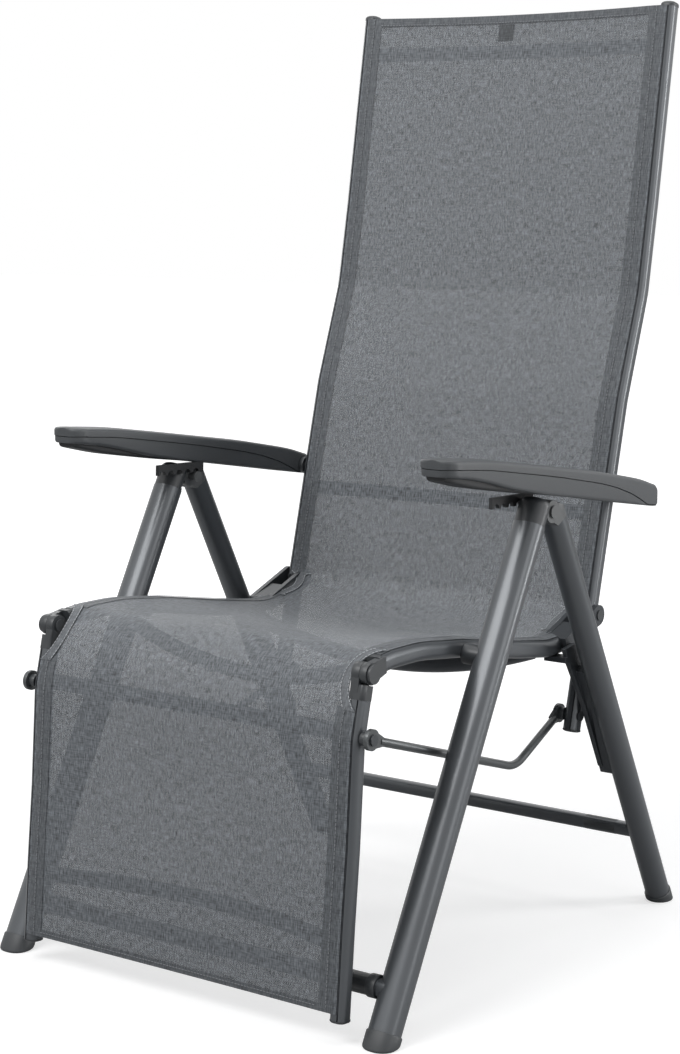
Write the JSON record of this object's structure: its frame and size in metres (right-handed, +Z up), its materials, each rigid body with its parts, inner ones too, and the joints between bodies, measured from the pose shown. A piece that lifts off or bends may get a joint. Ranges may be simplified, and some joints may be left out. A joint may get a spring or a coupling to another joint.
{
  "type": "reclining garden armchair",
  "caption": "High-backed folding garden armchair with a stretched mesh sling, lifting armrests on lock bolts and a footrest that swings out through bent link rods as the back reclines",
  "frame": {"origin": "On the floor, in the middle of the overall width and depth.", "axes": "+Z up; the chair faces -Y; +X is the left side of a person sitting in it."},
  "size_m": [0.596, 0.7698, 1.1643],
  "materials": {
    "frame": "anthracite metallic powder coat",
    "legs": "anthracite metallic powder coat, flattened oval and round tube",
    "bars": "anthracite metallic powder coat",
    "fittings": "dark grey moulded plastic",
    "feet": "dark grey soft plastic caps",
    "armrests": "grained dark grey moulded plastic",
    "pivot_heads": "light grey moulded plastic",
    "pins": "zinc plated steel",
    "brackets": "anthracite cast bracket",
    "fabric": "woven grey mesh fabric, slightly see-through",
    "tag": "blank woven tag"
  },
  "bodies": {
    "front_frame": {"front_leg_left": "legs", "front_leg_right": "legs", "front_foot_left": "feet", "front_foot_right": "feet", "leg_head_left": "fittings", "leg_head_right": "fittings", "pivot_bolt_left": "pins", "pivot_bolt_right": "pins", "seat_pivot_left": "fittings", "seat_pivot_right": "fittings", "seat_rail_left": "frame", "seat_rail_right": "frame", "seat_hinge_left": "fittings", "seat_hinge_right": "fittings", "rear_bracket_left": "brackets", "rear_bracket_right": "brackets", "front_crossbar": "bars", "front_sleeves": "fittings", "seat_front_bar": "bars", "seat_rear_bar": "bars", "hinge_pins": "fittings", "back_pins": "pins", "seat_fabric": "fabric"},
    "rear_legs": {"rear_leg_left": "legs", "rear_leg_right": "legs", "rear_foot_left": "feet", "rear_foot_right": "feet", "rear_head_left": "pivot_heads", "rear_head_right": "pivot_heads", "saddle_strut_left": "brackets", "saddle_strut_right": "brackets", "rear_crossbar": "bars", "rear_sleeve": "fittings"},
    "back": {"back_rail_left": "frame", "back_rail_right": "frame", "back_upper_bar": "bars", "back_lower_bar": "bars", "back_caps": "fittings", "back_plugs": "fittings", "back_fabric": "fabric", "label_tag": "tag"},
    "footrest": {"footrest_rail_left": "frame", "footrest_rail_right": "frame", "footrest_hinge_left": "fittings", "footrest_hinge_right": "fittings", "footrest_upper_bar": "bars", "footrest_lower_bar": "bars", "footrest_plugs": "fittings", "footrest_fabric": "fabric"},
    "link_rods": {"link_rod_left": "bars", "link_rod_right": "bars", "link_bushes": "fittings", "link_rivets": "pins"},
    "armrest_pins": {"armrest_pins": "pins"},
    "armrest_left": {"armrest_top_left": "armrests", "armrest_base_left": "armrests", "armrest_rack_left": "fittings"},
    "armrest_right": {"armrest_top_right": "armrests", "armrest_base_right": "armrests", "armrest_rack_right": "fittings"}
  },
  "joints": [
    {"name": "back_recline", "type": "hinge", "parent": "front_frame", "child": "back", "pos_m": [0, 0.15651, 0.398], "axis": [-1, 0, 0], "range_deg": [0, 26]},
    {"name": "footrest_swing", "type": "hinge", "parent": "front_frame", "child": "footrest", "pos_m": [0, -0.32849, 0.408], "axis": [-1, 0, 0], "range_deg": [0, 52]},
    {"name": "link_turn", "type": "hinge", "parent": "back", "child": "link_rods", "pos_m": [0, 0.12251, 0.274], "axis": [1, 0, 0], "range_deg": [0, 25]},
    {"name": "armrest_follow", "type": "hinge", "parent": "back", "child": "armrest_pins", "pos_m": [0, 0.19651, 0.548], "axis": [1, 0, 0], "range_deg": [0, 21]},
    {"name": "armrest_lift_left", "type": "hinge", "parent": "armrest_pins", "child": "armrest_left", "pos_m": [0, 0.19651, 0.548], "axis": [-1, 0, 0], "range_deg": [0, 90]},
    {"name": "armrest_lift_right", "type": "hinge", "parent": "armrest_pins", "child": "armrest_right", "pos_m": [0, 0.19651, 0.548], "axis": [-1, 0, 0], "range_deg": [0, 90]},
    {"name": "leg_fold", "type": "hinge", "parent": "front_frame", "child": "rear_legs", "pos_m": [0, -0.03349, 0.556], "axis": [-1, 0, 0], "range_deg": [0, 56]}
  ],
  "couplings": [
    {"joint": "footrest_swing", "follows": "back_recline", "ratio": 1.99},
    {"joint": "link_turn", "follows": "back_recline", "ratio": 0.945},
    {"joint": "armrest_follow", "follows": "back_recline", "ratio": 0.77}
  ]
}
